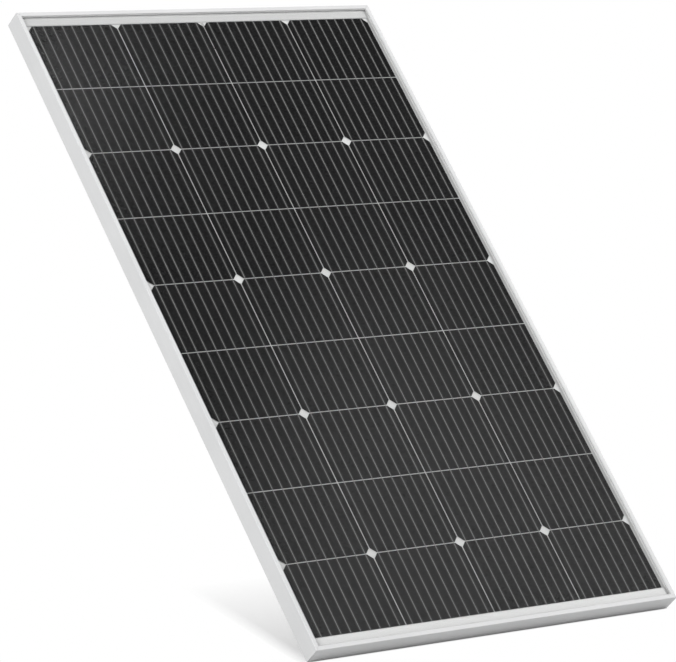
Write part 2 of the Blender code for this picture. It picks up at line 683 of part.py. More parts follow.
def build_lid():
    """The lid, with its raised panel, locating ridge, hinge pins and thumb edge, on the hinge's empty."""
    hinge = bpy.data.objects.new("lid_hinge", None)
    parts.objects.link(hinge)
    hinge.parent = lean
    hinge.location = (0, HINGE_Y, HINGE_Z)
    outer = rounded_rectangle(BOX_WIDTH, BOX_LENGTH, BOX_CORNER)
    cover = plate([outer], -LID_THICKNESS / 2, LID_THICKNESS / 2)
    centre = (0, BOX_CENTRE - HINGE_Y, 0)
    cover.transform(Matrix.Translation(centre))
    lid = add_part("junction_box_lid", cover, black_plastic, hinge)
    inset = BOX_WALL + LID_RIDGE_CLEARANCE
    ridge_out = rounded_rectangle(
        BOX_WIDTH - 2 * inset, BOX_LENGTH - 2 * inset, BOX_CORNER - inset
    )
    inset += LID_RIDGE_WIDTH
    ridge_in = rounded_rectangle(
        BOX_WIDTH - 2 * inset, BOX_LENGTH - 2 * inset, BOX_CORNER - inset
    )
    ridge = plate([ridge_out, ridge_in], 0, LID_THICKNESS / 2 + TOUCH + LID_RIDGE_HEIGHT)
    combine(lid, "UNION", add_tool("lid_ridge", ridge, hinge, centre))
    panel_outline = rounded_rectangle(LID_PANEL_WIDTH, LID_PANEL_LENGTH, BOX_CORNER)
    panel = plate([panel_outline], -LID_THICKNESS / 2 - LID_PANEL_HEIGHT, 0)
    combine(lid, "UNION", add_tool("lid_panel", panel, hinge, centre))
    for side, sign in (("left", -1), ("right", 1)):
        pin = rod(HINGE_PIN_RADIUS, HOOK_WIDTH + 2 * (ARM_CLEARANCE + ARM_WIDTH))
        combine(lid, "UNION", add_tool(f"hinge_pin_{side}", pin, hinge, (sign * HOOK_OFFSET, 0, 0)))
        for end, edge in (("inner", -sign), ("outer", sign)):
            arm = block(ARM_WIDTH, 2 * HINGE_OUTSET, -ARM_THICKNESS / 2, ARM_THICKNESS / 2)
            x = sign * HOOK_OFFSET + edge * (HOOK_WIDTH / 2 + ARM_CLEARANCE + ARM_WIDTH / 2)
            place = (x, -HINGE_OUTSET, 0)
            combine(lid, "UNION", add_tool(f"hinge_arm_{side}_{end}", arm, hinge, place))
    thumb = block(THUMB_WIDTH, 2 * THUMB_REACH, -THUMB_THICKNESS / 2, THUMB_THICKNESS / 2)
    place = (0, BOX_CENTRE - BOX_LENGTH / 2 - HINGE_Y, 0)
    combine(lid, "UNION", add_tool("lid_thumb_edge", thumb, hinge, place))


for leftover in list(bpy.data.objects):
    bpy.data.objects.remove(leftover, do_unlink=True)
parts = add_collection("solar_panel")
tools = add_collection("solar_panel_tools")

aluminium = add_material("anodised_aluminium", (0.78, 0.79, 0.80), 0.38, 1.0)
cast_metal = add_material("cast_corner_metal", (0.55, 0.56, 0.57), 0.55, 1.0)
clear_glass = add_material("clear_glass", (0.95, 0.98, 0.97), 0.05, 0.0, 0.12)
clear_film = add_material("clear_encapsulant", (0.97, 0.97, 0.97), 0.2, 0.0, 0.1)
white_film = add_material("white_encapsulant", (0.86, 0.86, 0.86), 0.4)
white_sheet = add_material("white_backsheet", (0.84, 0.84, 0.84), 0.5)
sealant = add_material("grey_sealant", (0.6, 0.6, 0.6), 0.7)
silicon = add_material("black_silicon", (0.03, 0.03, 0.035), 0.35)
tinned_copper = add_material("tinned_copper", (0.72, 0.72, 0.7), 0.35, 1.0)
black_plastic = add_material("black_plastic", (0.025, 0.025, 0.025), 0.55)

lean = bpy.data.objects.new("panel_lean", None)
parts.objects.link(lean)
lean.rotation_euler.x = PANEL_TILT

build_frame()
build_corner_keys()
lead_window = build_laminate()
build_edge_seal()
build_cells()
build_bus_ribbons()
build_box_base(lead_window)
build_gland_nuts()
build_diodes()
build_lid()
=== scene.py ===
"""The looks of a framed solar panel that leans back: its finishes, small fittings, light and camera.

Shapes are worked out in the panel's flat axes, x across it, y up its length and z out through the
glass, with z = 0 on the rear mounting plane, and then leaned back as the frame is. Lengths are in
metres.
"""

import json
import math

import bpy
import numpy as np
from mathutils import Matrix, Vector


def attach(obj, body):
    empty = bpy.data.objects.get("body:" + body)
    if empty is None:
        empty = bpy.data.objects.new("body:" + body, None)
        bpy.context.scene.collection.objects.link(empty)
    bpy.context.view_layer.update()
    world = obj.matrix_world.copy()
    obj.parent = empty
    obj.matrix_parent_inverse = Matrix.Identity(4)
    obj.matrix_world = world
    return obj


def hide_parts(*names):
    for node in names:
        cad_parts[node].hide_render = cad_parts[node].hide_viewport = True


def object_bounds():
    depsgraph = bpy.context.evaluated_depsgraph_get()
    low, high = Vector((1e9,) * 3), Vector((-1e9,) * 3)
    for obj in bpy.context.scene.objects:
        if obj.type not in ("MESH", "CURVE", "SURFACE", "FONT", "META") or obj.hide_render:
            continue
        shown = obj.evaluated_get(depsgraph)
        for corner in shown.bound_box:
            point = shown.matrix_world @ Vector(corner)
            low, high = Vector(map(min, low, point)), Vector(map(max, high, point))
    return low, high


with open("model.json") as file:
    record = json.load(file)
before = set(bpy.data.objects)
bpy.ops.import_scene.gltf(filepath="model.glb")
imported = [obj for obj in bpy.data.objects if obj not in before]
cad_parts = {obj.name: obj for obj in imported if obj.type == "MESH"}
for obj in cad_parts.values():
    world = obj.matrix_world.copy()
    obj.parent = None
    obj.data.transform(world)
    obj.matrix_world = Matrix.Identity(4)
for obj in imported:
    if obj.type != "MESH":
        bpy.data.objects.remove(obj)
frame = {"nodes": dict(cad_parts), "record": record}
cad_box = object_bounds()

MM = 0.001
MOUNTS = {mount["name"]: mount for mount in frame["record"]["mounts"]}
REAR_WAY = MOUNTS["rear_mounting_plane"]["axis"]
TILT = math.atan2(REAR_WAY[1], -REAR_WAY[2])

# Frame: its outside, the front lip and the inner shelf that reach in from there, and the lip's window
PANEL_WIDTH = 666 * MM
PANEL_LENGTH = 1130 * MM
FRAME_DEPTH = 30 * MM
LIP_WIDTH = 7 * MM
SHELF_WIDTH = 12 * MM
SHELF_TOP = 21.5 * MM
WINDOW_WIDTH = PANEL_WIDTH - 2 * LIP_WIDTH
WINDOW_LENGTH = PANEL_LENGTH - 2 * LIP_WIDTH

# Laminate: its inset from the frame's outside, and the heights of its sheets
LAMINATE_INSET = 3.3 * MM
GLASS_TOP = 28.1 * MM
FRONT_FILM_BOTTOM = 24.4 * MM
BACKSHEET_BOTTOM = 22.35 * MM

# Space between a new piece and the face that it lies on
HAIR = 0.02 * MM

# Cells, each three quarters of a square wafer, and the field that they fill
COLUMNS = 4
ROWS = 9
CELL_WIDTH = 158.75 * MM
CELL_HEIGHT = 0.75 * CELL_WIDTH
COLUMN_GAP = 2.0 * MM
ROW_GAP = 1.55 * MM
CORNER_CUT = 8.0 * MM
COLUMN_PITCH = CELL_WIDTH + COLUMN_GAP
ROW_PITCH = CELL_HEIGHT + ROW_GAP
FIELD_WIDTH = COLUMNS * COLUMN_PITCH - COLUMN_GAP
FIELD_LENGTH = ROWS * ROW_PITCH - ROW_GAP

# Solder ribbons up each cell, how far to their sides their painted light reaches, and the fingers across
# them
RIBBONS = 9
RIBBON_PITCH = 17.2 * MM
RIBBON_WIDTH = 1.0 * MM
RIBBON_GLOW = 3.0 * MM
FINGER_PITCH = 1.45 * MM

# White strips over the bus ribbons, from beside the cells to beside the laminate's edge
COVER_WIDTH = 656 * MM
COVER_START = 542.9 * MM
COVER_END = 561 * MM
COVER_THICKNESS = 0.16 * MM

# Junction box on the back: its foot, the gasket in its lid, and its terminals with their leads
BOX_CENTRE = 470 * MM
FOOT_WIDTH = 120 * MM
FOOT_LENGTH = 88 * MM
FOOT_CORNER = 11 * MM
GASKET_WIDTH = 101.2 * MM
GASKET_LENGTH = 69.2 * MM
GASKET_CORNER = 2.5 * MM
LID_INSIDE = 7.2 * MM
TERMINAL_PITCH = 34 * MM
TERMINAL_Y = 482 * MM
LEAD_FACE = 14.43 * MM
LEAD_TAPE_START = 22.5 * MM

# Camera: it stands to the left of the panel's face and looks slightly down
PHOTO_WIDTH = 676
FOCAL_PIXELS = 3866
SENSOR = 36.0
CAMERA_AZIMUTH = math.radians(-37.55)
CAMERA_HEIGHT_ANGLE = math.radians(6.44)
CAMERA_DISTANCE = 5.7443
CAMERA_AIM = Vector((-0.00368, -0.01274, -0.02309))

# Light: an even sky, a key lamp, and soft boxes square to the glass, at one height in its flat axes
SKY = 0.47
KEY_PLACE = Vector((-3.6, -1.1, 1.5))
KEY_SIZE = (1.8, 1.8)
KEY_POWER = 108
SHEEN_HEIGHT = 2.5
SHEEN_TURN = math.radians(-45)

# Floor: the tone that lights the panel, the tone of its shaded part, and the painted wedge where its
# shadow shows
FLOOR_HALF = 60.0
FLOOR_TONE = 0.72
SHADED_TONE = 0.94
SHADOW_START = 0.09
SHADOW_END = 0.58
SHADOW_TAPER = 0.363
SHADOW_EDGE = 15 * MM
CONTACT_EDGE = 5 * MM


class Wire:
    """A socket of a node tree. Arithmetic on it adds Math nodes, and node() adds any other node."""

    def __init__(self, tree, socket=None):
        self.tree = tree
        self.socket = socket

    def node(self, kind, settings, sockets, output=0):
        """A new node: first its settings, then its sockets' values or links. It gives one output."""
        node = self.tree.nodes.new("ShaderNode" + kind)
        for name, value in settings.items():
            setattr(node, name, value)
        for name, value in sockets.items():
            if isinstance(value, Wire):
                self.tree.links.new(value.socket, node.inputs[name])
            else:
                node.inputs[name].default_value = value
        return Wire(self.tree, node.outputs[output])

    def maths(self, operation, *terms):
        """A Math node on terms that are wires or numbers."""
        return self.node("Math", {"operation": operation}, dict(enumerate(terms)))

    def __add__(self, term):
        return self.maths("ADD", self, term)

    def __sub__(self, term):
        return self.maths("SUBTRACT", self, term)

    def __rsub__(self, term):
        return self.maths("SUBTRACT", term, self)

    def __mul__(self, term):
        return self.maths("MULTIPLY", self, term)

    def __truediv__(self, term):
        return self.maths("DIVIDE", self, term)

    def __lt__(self, term):
        return self.maths("LESS_THAN", self, term)

    def __gt__(self, term):
        return self.maths("GREATER_THAN", self, term)

    def __abs__(self):
        return self.maths("ABSOLUTE", self)

    __radd__ = __add__
    __rmul__ = __mul__

    def axis(self, name):
        """One value of a vector, named X, Y or Z."""
        return self.node("SeparateXYZ", {}, {"Vector": self}, name)

    def step(self, pitch):
        """The number of the step that the value is in, where steps of one pitch start at zero."""
        return self.maths("FLOOR", self / pitch)

    def wrapped(self, pitch):
        """How far the value is from the middle of its step, where steps of one pitch start at zero."""
        return self.maths("WRAP", self, pitch, 0.0) - pitch / 2

    def ramp(self, low, high):
        """0 at low, 1 at high, a straight slope between and no change past them. Either may be larger."""
        return self.node("MapRange", {}, {"Value": self, "From Min": low, "From Max": high})


def largest(first, *others):
    """The largest of some values."""
    for other in others:
        first = first.maths("MAXIMUM", first, other)
    return first


def mix(factor, first, second):
    """A colour between two colours, by the Mix node's colour sockets, which share names with others."""
    sockets = {0: factor, 6: first, 7: second}
    return factor.node("Mix", {"data_type": "RGBA"}, sockets, 2)


def grey(tone):
    """A neutral colour."""
    return (tone, tone, tone, 1)


def flat_axes(start):
    """The surface's place in the panel's flat axes."""
    place = start.node("TexCoord", {}, {}, "Object")
    return start.node("Mapping", {}, {"Vector": place, "Rotation": (-TILT, 0, 0)})


def field_axes(flat):
    """How far a place is to the right of and above the corner where the steps of cells start."""
    field_x = flat.axis("X") + COLUMNS * COLUMN_PITCH / 2
    field_y = flat.axis("Y") + ROWS * ROW_PITCH / 2
    return field_x, field_y


def past_sides(flat, width, length):
    """How far a place is past the sides of a rectangle about the panel's middle, negative inside."""
    return largest(abs(flat.axis("X")) - width / 2, abs(flat.axis("Y")) - length / 2)


def past_cells(flat):
    """How far a place is outside the nearest cell, negative under it, with the corners cut off."""
    field_x, field_y = field_axes(flat)
    across = abs(field_x.wrapped(COLUMN_PITCH)) - CELL_WIDTH / 2
    along = abs(field_y.wrapped(ROW_PITCH)) - CELL_HEIGHT / 2
    corner = (across + along + CORNER_CUT) / math.sqrt(2)
    return largest(across, along, corner, past_sides(flat, FIELD_WIDTH, FIELD_LENGTH))


def noise(place, scale, detail=2, stretch=(1, 1, 1)):
    """Even noise from 0 to 1, finer with scale and drawn out where stretch is small."""
    drawn = place.node("Mapping", {}, {"Vector": place, "Scale": stretch})
    return place.node("TexNoise", {}, {"Vector": drawn, "Scale": scale, "Detail": detail})


def bump(height, depth, strength=1.0):
    """A normal for a relief, where a height of 1 stands for a depth."""
    return height.node("Bump", {}, {"Height": height, "Distance": depth, "Strength": strength})


def new_finish(name, **plain):
    """A material with one Principled node, whose plain values are set by socket name.

    An index of refraction comes with a specular level, because the export leaves it out without one.
    """
    material = bpy.data.materials.new(name)
    material.use_nodes = True
    tree = material.node_tree
    shader = tree.nodes["Principled BSDF"]
    for socket, value in plain.items():
        shader.inputs[socket.replace("_", " ")].default_value = value
    return material, Wire(tree), shader


def feed(shader, **wires):
    """Links wires to a shader's sockets by name."""
    for socket, wire in wires.items():
        wire.tree.links.new(wire.socket, shader.inputs[socket.replace("_", " ")])


def blended_finish(name):
    """A material with no Principled node, for shaders that are mixed."""
    material, start, shader = new_finish(name)
    material.node_tree.nodes.remove(shader)
    return material, start


def show_blend(material, share, first, second):
    """Shows a mix of two shaders as the material's surface."""
    both = share.node("MixShader", {}, {0: share, 1: first, 2: second})
    surface = material.node_tree.nodes["Material Output"].inputs["Surface"]
    both.tree.links.new(both.socket, surface)


def anodised_aluminium(name, stretch):
    """Satin metal with the fine lines of the extrusion along the rail and a soft cloudy tone."""
    material, start, shader = new_finish(name, Metallic=0.08, IOR=1.284, Specular_IOR_Level=0.4)
    flat = flat_axes(start)
    lines = noise(flat, 900, 3, stretch)
    cloud = noise(flat, 9)
    tone = (lines * 0.35 + cloud * 0.65).ramp(0.3, 0.7)
    colour = mix(tone, (0.540, 0.543, 0.546, 1), (0.597, 0.600, 0.603, 1))
    feed(shader, Base_Color=colour, Roughness=0.38 + lines * 0.14, Normal=bump(lines, 0.02 * MM, 0.5))
    return material


def cell_silicon():
    """Dark silicon with soldered ribbons, thin printed fingers across them and a tone for each cell.

    The silicon beside the three-sided ribbons is painted lighter, for the light that they throw on to it.
    The sheen is that of the cell and the coated glass bonded to it together, so its index is low.
    """
    material, start, shader = new_finish("cell_silicon", IOR=1.158, Specular_IOR_Level=0.4)
    flat = flat_axes(start)
    field_x, field_y = field_axes(flat)
    column, row = field_x.step(COLUMN_PITCH), field_y.step(ROW_PITCH)
    index = start.node("CombineXYZ", {}, {"X": column, "Y": row})
    own_tone = start.node("TexWhiteNoise", {"noise_dimensions": "2D"}, {"Vector": index})
    across = field_x.wrapped(COLUMN_PITCH)
    ribbons_half = RIBBONS * RIBBON_PITCH / 2
    to_ribbon = abs((across + ribbons_half).wrapped(RIBBON_PITCH))
    soldered = abs(across) < ribbons_half
    on_ribbon = (to_ribbon < RIBBON_WIDTH / 2) * soldered
    # Painted light: the silicon is painted lighter beside each ribbon, for the light that the ribbon
    # throws.
    painted_ribbon_light = to_ribbon.ramp(RIBBON_GLOW, RIBBON_WIDTH / 2) * soldered
    to_finger = abs(field_y.wrapped(ROW_PITCH).wrapped(FINGER_PITCH))
    finger = to_finger.ramp(FINGER_PITCH * 0.3, FINGER_PITCH * 0.5)
    mottle = noise(flat, 350).ramp(0.3, 0.7)
    tone = own_tone * 0.2 + mottle * 0.6 + finger * 0.2
    dark = mix(tone, (0.0005, 0.0005, 0.0006, 1), (0.0080, 0.0080, 0.0085, 1))
    silicon = mix(painted_ribbon_light, dark, grey(0.05))
    solder = mix(noise(flat, 260, 3), (0.20, 0.20, 0.20, 1), (0.25, 0.25, 0.245, 1))
    grain = noise(flat, 2500)
    feed(
        shader,
        Base_Color=mix(on_ribbon, silicon, solder),
        Roughness=0.21 + on_ribbon * 0.19,
        Metallic=on_ribbon * 0.3,
        Normal=bump(grain, 0.01 * MM, 0.3),
    )
    return material


def cover_glass():
    """Low-iron glass with an anti-reflection coat: clear, with a sheen by Fresnel at shallow angles.

    The sheen that is seen over the cells at other angles is in their own finish. The inner face is
    bonded to the cells and has none.
    """
    material, start = blended_finish("cover_glass")
    rolled = noise(flat_axes(start), 60)
    clear = start.node("BsdfTransparent", {}, {"Color": (0.992, 0.993, 0.992, 1)})
    sheen = start.node("BsdfGlossy", {}, {"Roughness": 0.19 + rolled * 0.04})
    outer_face = 1 - start.node("NewGeometry", {}, {}, "Backfacing")
    share = start.node("Fresnel", {}, {"IOR": 1.05}).ramp(0.004, 1) * outer_face
    show_blend(material, share, clear, sheen)
    return material


def inner_white(name, tone_low, tone_high, carry):
    """White film behind the glass, with painted light under the lip for the light that glass carries
    there.

    The painted light starts at a distance, carry, in from the lip's inner edge.
    """
    material, start, shader = new_finish(name, Specular_IOR_Level=0.35)
    flat = flat_axes(start)
    fleece = noise(flat, 1200, 3)
    film = mix(fleece * 0.3 + noise(flat, 5) * 0.7, grey(tone_low), grey(tone_high))
    whitest = 1.5 * MM
    # Painted light: the film is painted whiter under the lip, for light that the glass carries there.
    under_lip = past_sides(flat, WINDOW_WIDTH, WINDOW_LENGTH).ramp(-carry, whitest)
    colour = mix(under_lip, film, grey(0.95))
    feed(shader, Base_Color=colour, Roughness=0.42 + fleece * 0.15)
    return material


def white_backsheet():
    """White plastic film on the back. The cells' outlines show through it as a faint relief, with painted
    shade in its hollows.
    """
    material, start, shader = new_finish("white_backsheet", Specular_IOR_Level=0.35)
    flat = flat_axes(start)
    hollow = past_cells(flat).ramp(-2 * MM, 0.5 * MM)
    fleece = noise(flat, 1200, 3)
    # Painted shade: the hollows between the cells' outlines are painted darker.
    tone = fleece * 0.3 + noise(flat, 5) * 0.5 + (1 - hollow) * 0.2
    colour = mix(tone, (0.74, 0.74, 0.74, 1), (0.81, 0.81, 0.805, 1))
    height = fleece * 0.06 - hollow * 0.5
    feed(shader, Base_Color=colour, Roughness=0.42 + fleece * 0.15, Normal=bump(height, 0.3 * MM))
    return material


def moulded_black():
    """Black moulded plastic with a fine spark-eroded grain."""
    material, start, shader = new_finish("moulded_black", Specular_IOR_Level=0.4)
    flat = flat_axes(start)
    grain = noise(flat, 1500, 3)
    tone = noise(flat, 60) * 0.6 + grain * 0.4
    colour = mix(tone, (0.016, 0.016, 0.017, 1), (0.030, 0.030, 0.031, 1))
    feed(shader, Base_Color=colour, Roughness=0.46 + grain * 0.2, Normal=bump(grain, 0.05 * MM, 0.5))
    return material


def tinned_copper():
    """Dull tinned strip, slightly wavy from the soldering, under tape where it is behind cells, painted
    grey as shade.
    """
    material, start, shader = new_finish("tinned_copper")
    flat = flat_axes(start)
    wave = noise(flat, 220)
    specks = noise(flat, 1800)
    tin = mix(specks * 0.5 + wave * 0.5, (0.60, 0.60, 0.59, 1), (0.76, 0.76, 0.74, 1))
    # The tape's grey is partly painted shade, for the narrow gap between the cells where it lies.
    taped = (abs(flat.axis("Y")) < FIELD_LENGTH / 2) * (flat.axis("Z") > LEAD_TAPE_START)
    feed(
        shader,
        Base_Color=mix(taped, tin, grey(0.33)),
        Metallic=0.8 - taped * 0.8,
        Roughness=0.3 + specks * 0.2,
        Normal=bump(wave, 0.1 * MM, 0.6),
    )
    return material


def cast_metal():
    """Grainy bare casting, for the keys inside the frame's corners."""
    material, start, shader = new_finish("cast_metal", Metallic=0.9)
    grain = noise(flat_axes(start), 800, 4)
    colour = mix(grain, (0.42, 0.43, 0.44, 1), (0.60, 0.61, 0.62, 1))
    feed(shader, Base_Color=colour, Roughness=0.45 + grain * 0.2, Normal=bump(grain, 0.1 * MM, 0.6))
    return material


def silicone_sealant(name, tone_low, tone_high):
    """Silicone, smooth and a little uneven, as it was squeezed out."""
    material, start, shader = new_finish(name, Specular_IOR_Level=0.4)
    lumps = noise(flat_axes(start), 150, 3)
    colour = mix(lumps, grey(tone_low), grey(tone_high))
    feed(shader, Base_Color=colour, Roughness=0.35 + lumps * 0.15, Normal=bump(lumps, 0.2 * MM, 0.5))
    return material


def plated_screw():
    """Zinc-plated steel, with the slot of the screw's head across it as painted shade, not cut."""
    material, start, shader = new_finish("plated_screw", Metallic=0.9)
    flat = flat_axes(start)
    slot_half = 0.35 * MM
    # Painted shade: the slot is not cut into the head, only painted dark.
    slot = abs(flat.axis("Y") - TERMINAL_Y) < slot_half
    grain = noise(flat, 1500)
    plated = mix(grain, (0.55, 0.55, 0.54, 1), (0.70, 0.70, 0.69, 1))
    feed(shader, Base_Color=mix(slot, plated, grey(0.03)), Roughness=0.28 + grain * 0.14)
    return material


def diode_epoxy():
    """Black epoxy body, with a pale band at one end and bright leads beyond it."""
    material, start, shader = new_finish("diode_epoxy")
    flat = flat_axes(start)
    body_half, band_middle, band_half = 4.76 * MM, 3.2 * MM, 0.7 * MM
    along = abs(flat.axis("X")) - TERMINAL_PITCH / 2
    band = abs(along - band_middle) < band_half
    lead = abs(along) > body_half
    grain = noise(flat, 1600)
    body = mix(grain, (0.018, 0.018, 0.019, 1), (0.032, 0.032, 0.033, 1))
    marked = mix(band, body, grey(0.62))
    colour = mix(lead, marked, (0.66, 0.66, 0.65, 1))
    feed(shader, Base_Color=colour, Metallic=lead, Roughness=0.35 + grain * 0.15)
    return material


def leaned(points):
    """Flat axes turned into the row frame: a turn about x by the panel's tilt."""
    turn = np.array(
        [
            [1, 0, 0],
            [0, math.cos(TILT), -math.sin(TILT)],
            [0, math.sin(TILT), math.cos(TILT)],
        ]
    )
    return points @ turn.T


def add_object(name, data):
    """A new object in the scene, at the origin."""
    thing = bpy.data.objects.new(name, data)
    bpy.context.scene.collection.objects.link(thing)
    return thing


def add_piece(name, points, faces, finish, body):
    """Puts points, in flat axes, into a mesh at the origin that rides on a body."""
    mesh = bpy.data.meshes.new(name)
    mesh.from_pydata(leaned(points).tolist(), [], faces)
    mesh.materials.append(finish)
    mesh.shade_smooth()
    mesh.set_sharp_from_angle(angle=math.radians(35))
    piece = add_object(name, mesh)
    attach(piece, body)
    return piece


def circle(points):
    """Unit directions at even steps round a circle: the cosine and the sine of each angle."""
    angle = np.linspace(0, 2 * math.pi, points, endpoint=False)
    return np.stack([np.cos(angle), np.sin(angle)], -1)


def quarter_turn(points):
    """The cosines and the sines of even steps through a quarter turn."""
    angle = np.linspace(0, math.pi / 2, points)
    return np.cos(angle), np.sin(angle)


def rounded_path(width, length, radius, corner_steps, side_steps=1):
    """A rounded rectangle: quarter circles at the corners and evenly split straight sides.

    It gives the points, in order round the middle, and the outward direction at each of them.
    """
    quarter = np.arange(4)[:, None] * math.pi / 2
    angle = quarter + np.linspace(0, math.pi / 2, corner_steps + 1)
    out = np.stack([np.cos(angle), np.sin(angle)], -1)
    side = np.sign(np.stack([np.cos(quarter + math.pi / 4), np.sin(quarter + math.pi / 4)], -1))
    corner = side * (np.array([width, length]) / 2 - radius) + radius * out
    share = np.linspace(0, 1, side_steps + 1)[1:-1, None]
    start, end = corner[:, -1:, :], np.roll(corner, -1, 0)[:, :1, :]
    straight = start + (end - start) * share
    straight_out = np.broadcast_to(out[:, -1:, :], straight.shape)
    points = np.concatenate([corner, straight], 1).reshape(-1, 2)
    return points, np.concatenate([out, straight_out], 1).reshape(-1, 2)


def grid_faces(rows, columns, close_rows):
    """Four-sided faces of a grid that closes along its columns and, if asked, along its rows."""
    row = np.arange(rows if close_rows else rows - 1)[:, None]
    column = np.arange(columns)[None, :]
    after, beside = (row + 1) % rows, (column + 1) % columns
    corners = [row * columns + column, row * columns + beside]
    corners += [after * columns + beside, after * columns + column]
    return np.stack(np.broadcast_arrays(*corners), -1).reshape(-1, 4).tolist()


def carried(path, out, profile):
    """A profile of outward reach and height, carried round a path: path + reach * out, height."""
    reach, height = np.asarray(profile).T
    ground = path[None] + reach[:, None, None] * out[None]
    level = np.broadcast_to(height[:, None, None], (*ground.shape[:2], 1))
    return np.concatenate([ground, level], -1)


def capped(name, path, out, profile, finish):
    """A profile carried round a path, from its lowest point up, and closed by a flat face at each end."""
    rings = carried(path, out, profile)
    ring = np.arange(len(path))
    faces = grid_faces(len(profile), len(path), False)
    faces.append(ring[::-1].tolist())
    faces.append((ring + (len(profile) - 1) * len(path)).tolist())
    return add_piece(name, rings.reshape(-1, 3), faces, finish, "panel")


def bead(name, path, out, profile, finish, unevenness=0.0, body="panel"):
    """A closed profile carried round a path, as a hand-run bead: its reach swells and thins slowly."""
    rings = carried(path, out, profile)
    step = np.linspace(0, 2 * math.pi, len(path), endpoint=False)
    swell = unevenness * (np.sin(7 * step) + np.sin(17 * step + 1) + np.sin(41 * step + 2)) / 3
    free = np.asarray(profile)[:, 0] > 0
    rings[free, :, :2] += (swell[:, None] * out)[None]
    faces = grid_faces(len(profile), len(path), True)
    return add_piece(name, rings.reshape(-1, 3), faces, finish, body)


def add_clear_laminate(finish):
    """Glass and front film as the one clear sheet that they are bonded into, with a ground edge."""
    width, length = PANEL_WIDTH - 2 * LAMINATE_INSET, PANEL_LENGTH - 2 * LAMINATE_INSET
    path, out = rounded_path(width, length, 1.5 * MM, corner_steps=4)
    low, high = FRONT_FILM_BOTTOM + HAIR, GLASS_TOP
    ground = 0.6 * MM
    profile = [(-ground, low), (0, low + ground), (0, high - ground), (-ground, high)]
    piece = capped("clear_laminate", path, out, profile, finish)
    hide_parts("front_glass", "front_encapsulant")


def add_bus_covers(finishes):
    """White strips over the bus ribbons above and below the cells: a flat outline given a thickness."""
    high = FRONT_FILM_BOTTOM - HAIR
    profile = [(0, high - COVER_THICKNESS), (0, high)]
    for end, sign in (("bottom", -1), ("top", 1)):
        path, out = rounded_path(COVER_WIDTH, COVER_END - COVER_START, 1 * MM, corner_steps=4)
        path = path + np.array([0, sign * (COVER_START + COVER_END) / 2])
        capped(f"bus_cover_{end}", path, out, profile, finishes[end])


def add_front_seal(finish):
    """The fine bead of silicone where the glass meets the frame's front lip: a hollow quarter round."""
    path, out = rounded_path(WINDOW_WIDTH, WINDOW_LENGTH, 0.2 * MM, corner_steps=2, side_steps=160)
    wide, high, clear = 1.2 * MM, 0.9 * MM, 0.03 * MM
    glass = GLASS_TOP + HAIR
    cosine, sine = quarter_turn(5)
    hollow = np.stack([wide * (1 - sine) + clear, glass + high * (1 - cosine)], -1)
    profile = np.concatenate([hollow, [(clear, glass)]])
    bead("front_seal_bead", path, -out, profile, finish)


def add_rear_seal(finish):
    """The bead of silicone squeezed out between the frame's shelf and the backsheet: a quarter round.

    A tongue of it reaches back into the gap between them.
    """
    width, length = PANEL_WIDTH - 2 * SHELF_WIDTH, PANEL_LENGTH - 2 * SHELF_WIDTH
    path, out = rounded_path(width, length, 0.5 * MM, corner_steps=2, side_steps=160)
    wide, deep, tongue, clear = 2.6 * MM, 1.73 * MM, 0.9 * MM, 0.03 * MM
    sheet = BACKSHEET_BOTTOM - HAIR
    gap_floor = SHELF_TOP + 0.07 * MM
    cosine, sine = quarter_turn(6)
    height = sheet - (sheet - SHELF_TOP + deep) * sine
    fillet = np.stack([np.maximum(wide * cosine, clear), height], -1)
    gap_end = [(clear, gap_floor), (-tongue, gap_floor)]
    profile = np.concatenate([[(-tongue, sheet)], fillet, gap_end])
    bead("rear_seal_bead", path, -out, profile, finish, 0.35 * MM)


def add_box_glue(finish):
    """The bead of silicone that holds the junction box, squeezed out round its foot: a quarter round."""
    path, out = rounded_path(FOOT_WIDTH, FOOT_LENGTH, FOOT_CORNER, corner_steps=10, side_steps=60)
    path = path + np.array([0, BOX_CENTRE])
    wide, deep, clear_at_sheet, clear_at_tip = 2.8 * MM, 1.5 * MM, 0.04 * MM, 0.05 * MM
    sheet = BACKSHEET_BOTTOM - HAIR
    cosine, sine = quarter_turn(7)
    fillet = np.stack([wide * cosine + clear_at_tip, sheet - deep * sine], -1)
    profile = np.concatenate([[(clear_at_sheet, sheet)], fillet])
    bead("box_glue_bead", path, out, profile, finish, 0.5 * MM)


def add_terminal_screws(finish):
    """A domed screw on each lead inside the box: a profile of radius and height turned about its axis."""
    out = circle(24)
    head = 1.7 * MM
    dome = np.array([(0.4, 0.0), (1.2, 0.12), (1.8, 0.45), (2.1, 0.9), (2.1, 1.68)]) * MM
    profile = dome + np.array([0, LEAD_FACE - head])
    for index in range(-1, 2):
        centre = np.tile([index * TERMINAL_PITCH, TERMINAL_Y], (len(out), 1))
        capped(f"terminal_screw_{index + 2}", centre, out, profile, finish)


def add_lid_gasket(finish):
    """The round silicone cord in the lid, just inside its locating ridge: a circle round a path."""
    path, out = rounded_path(GASKET_WIDTH, GASKET_LENGTH, GASKET_CORNER, corner_steps=8, side_steps=30)
    path = path + np.array([0, BOX_CENTRE])
    radius = 0.55 * MM
    cord = radius * circle(12) + np.array([0, LID_INSIDE + radius + HAIR])
    bead("lid_gasket", path, out, cord, finish, body="lid")


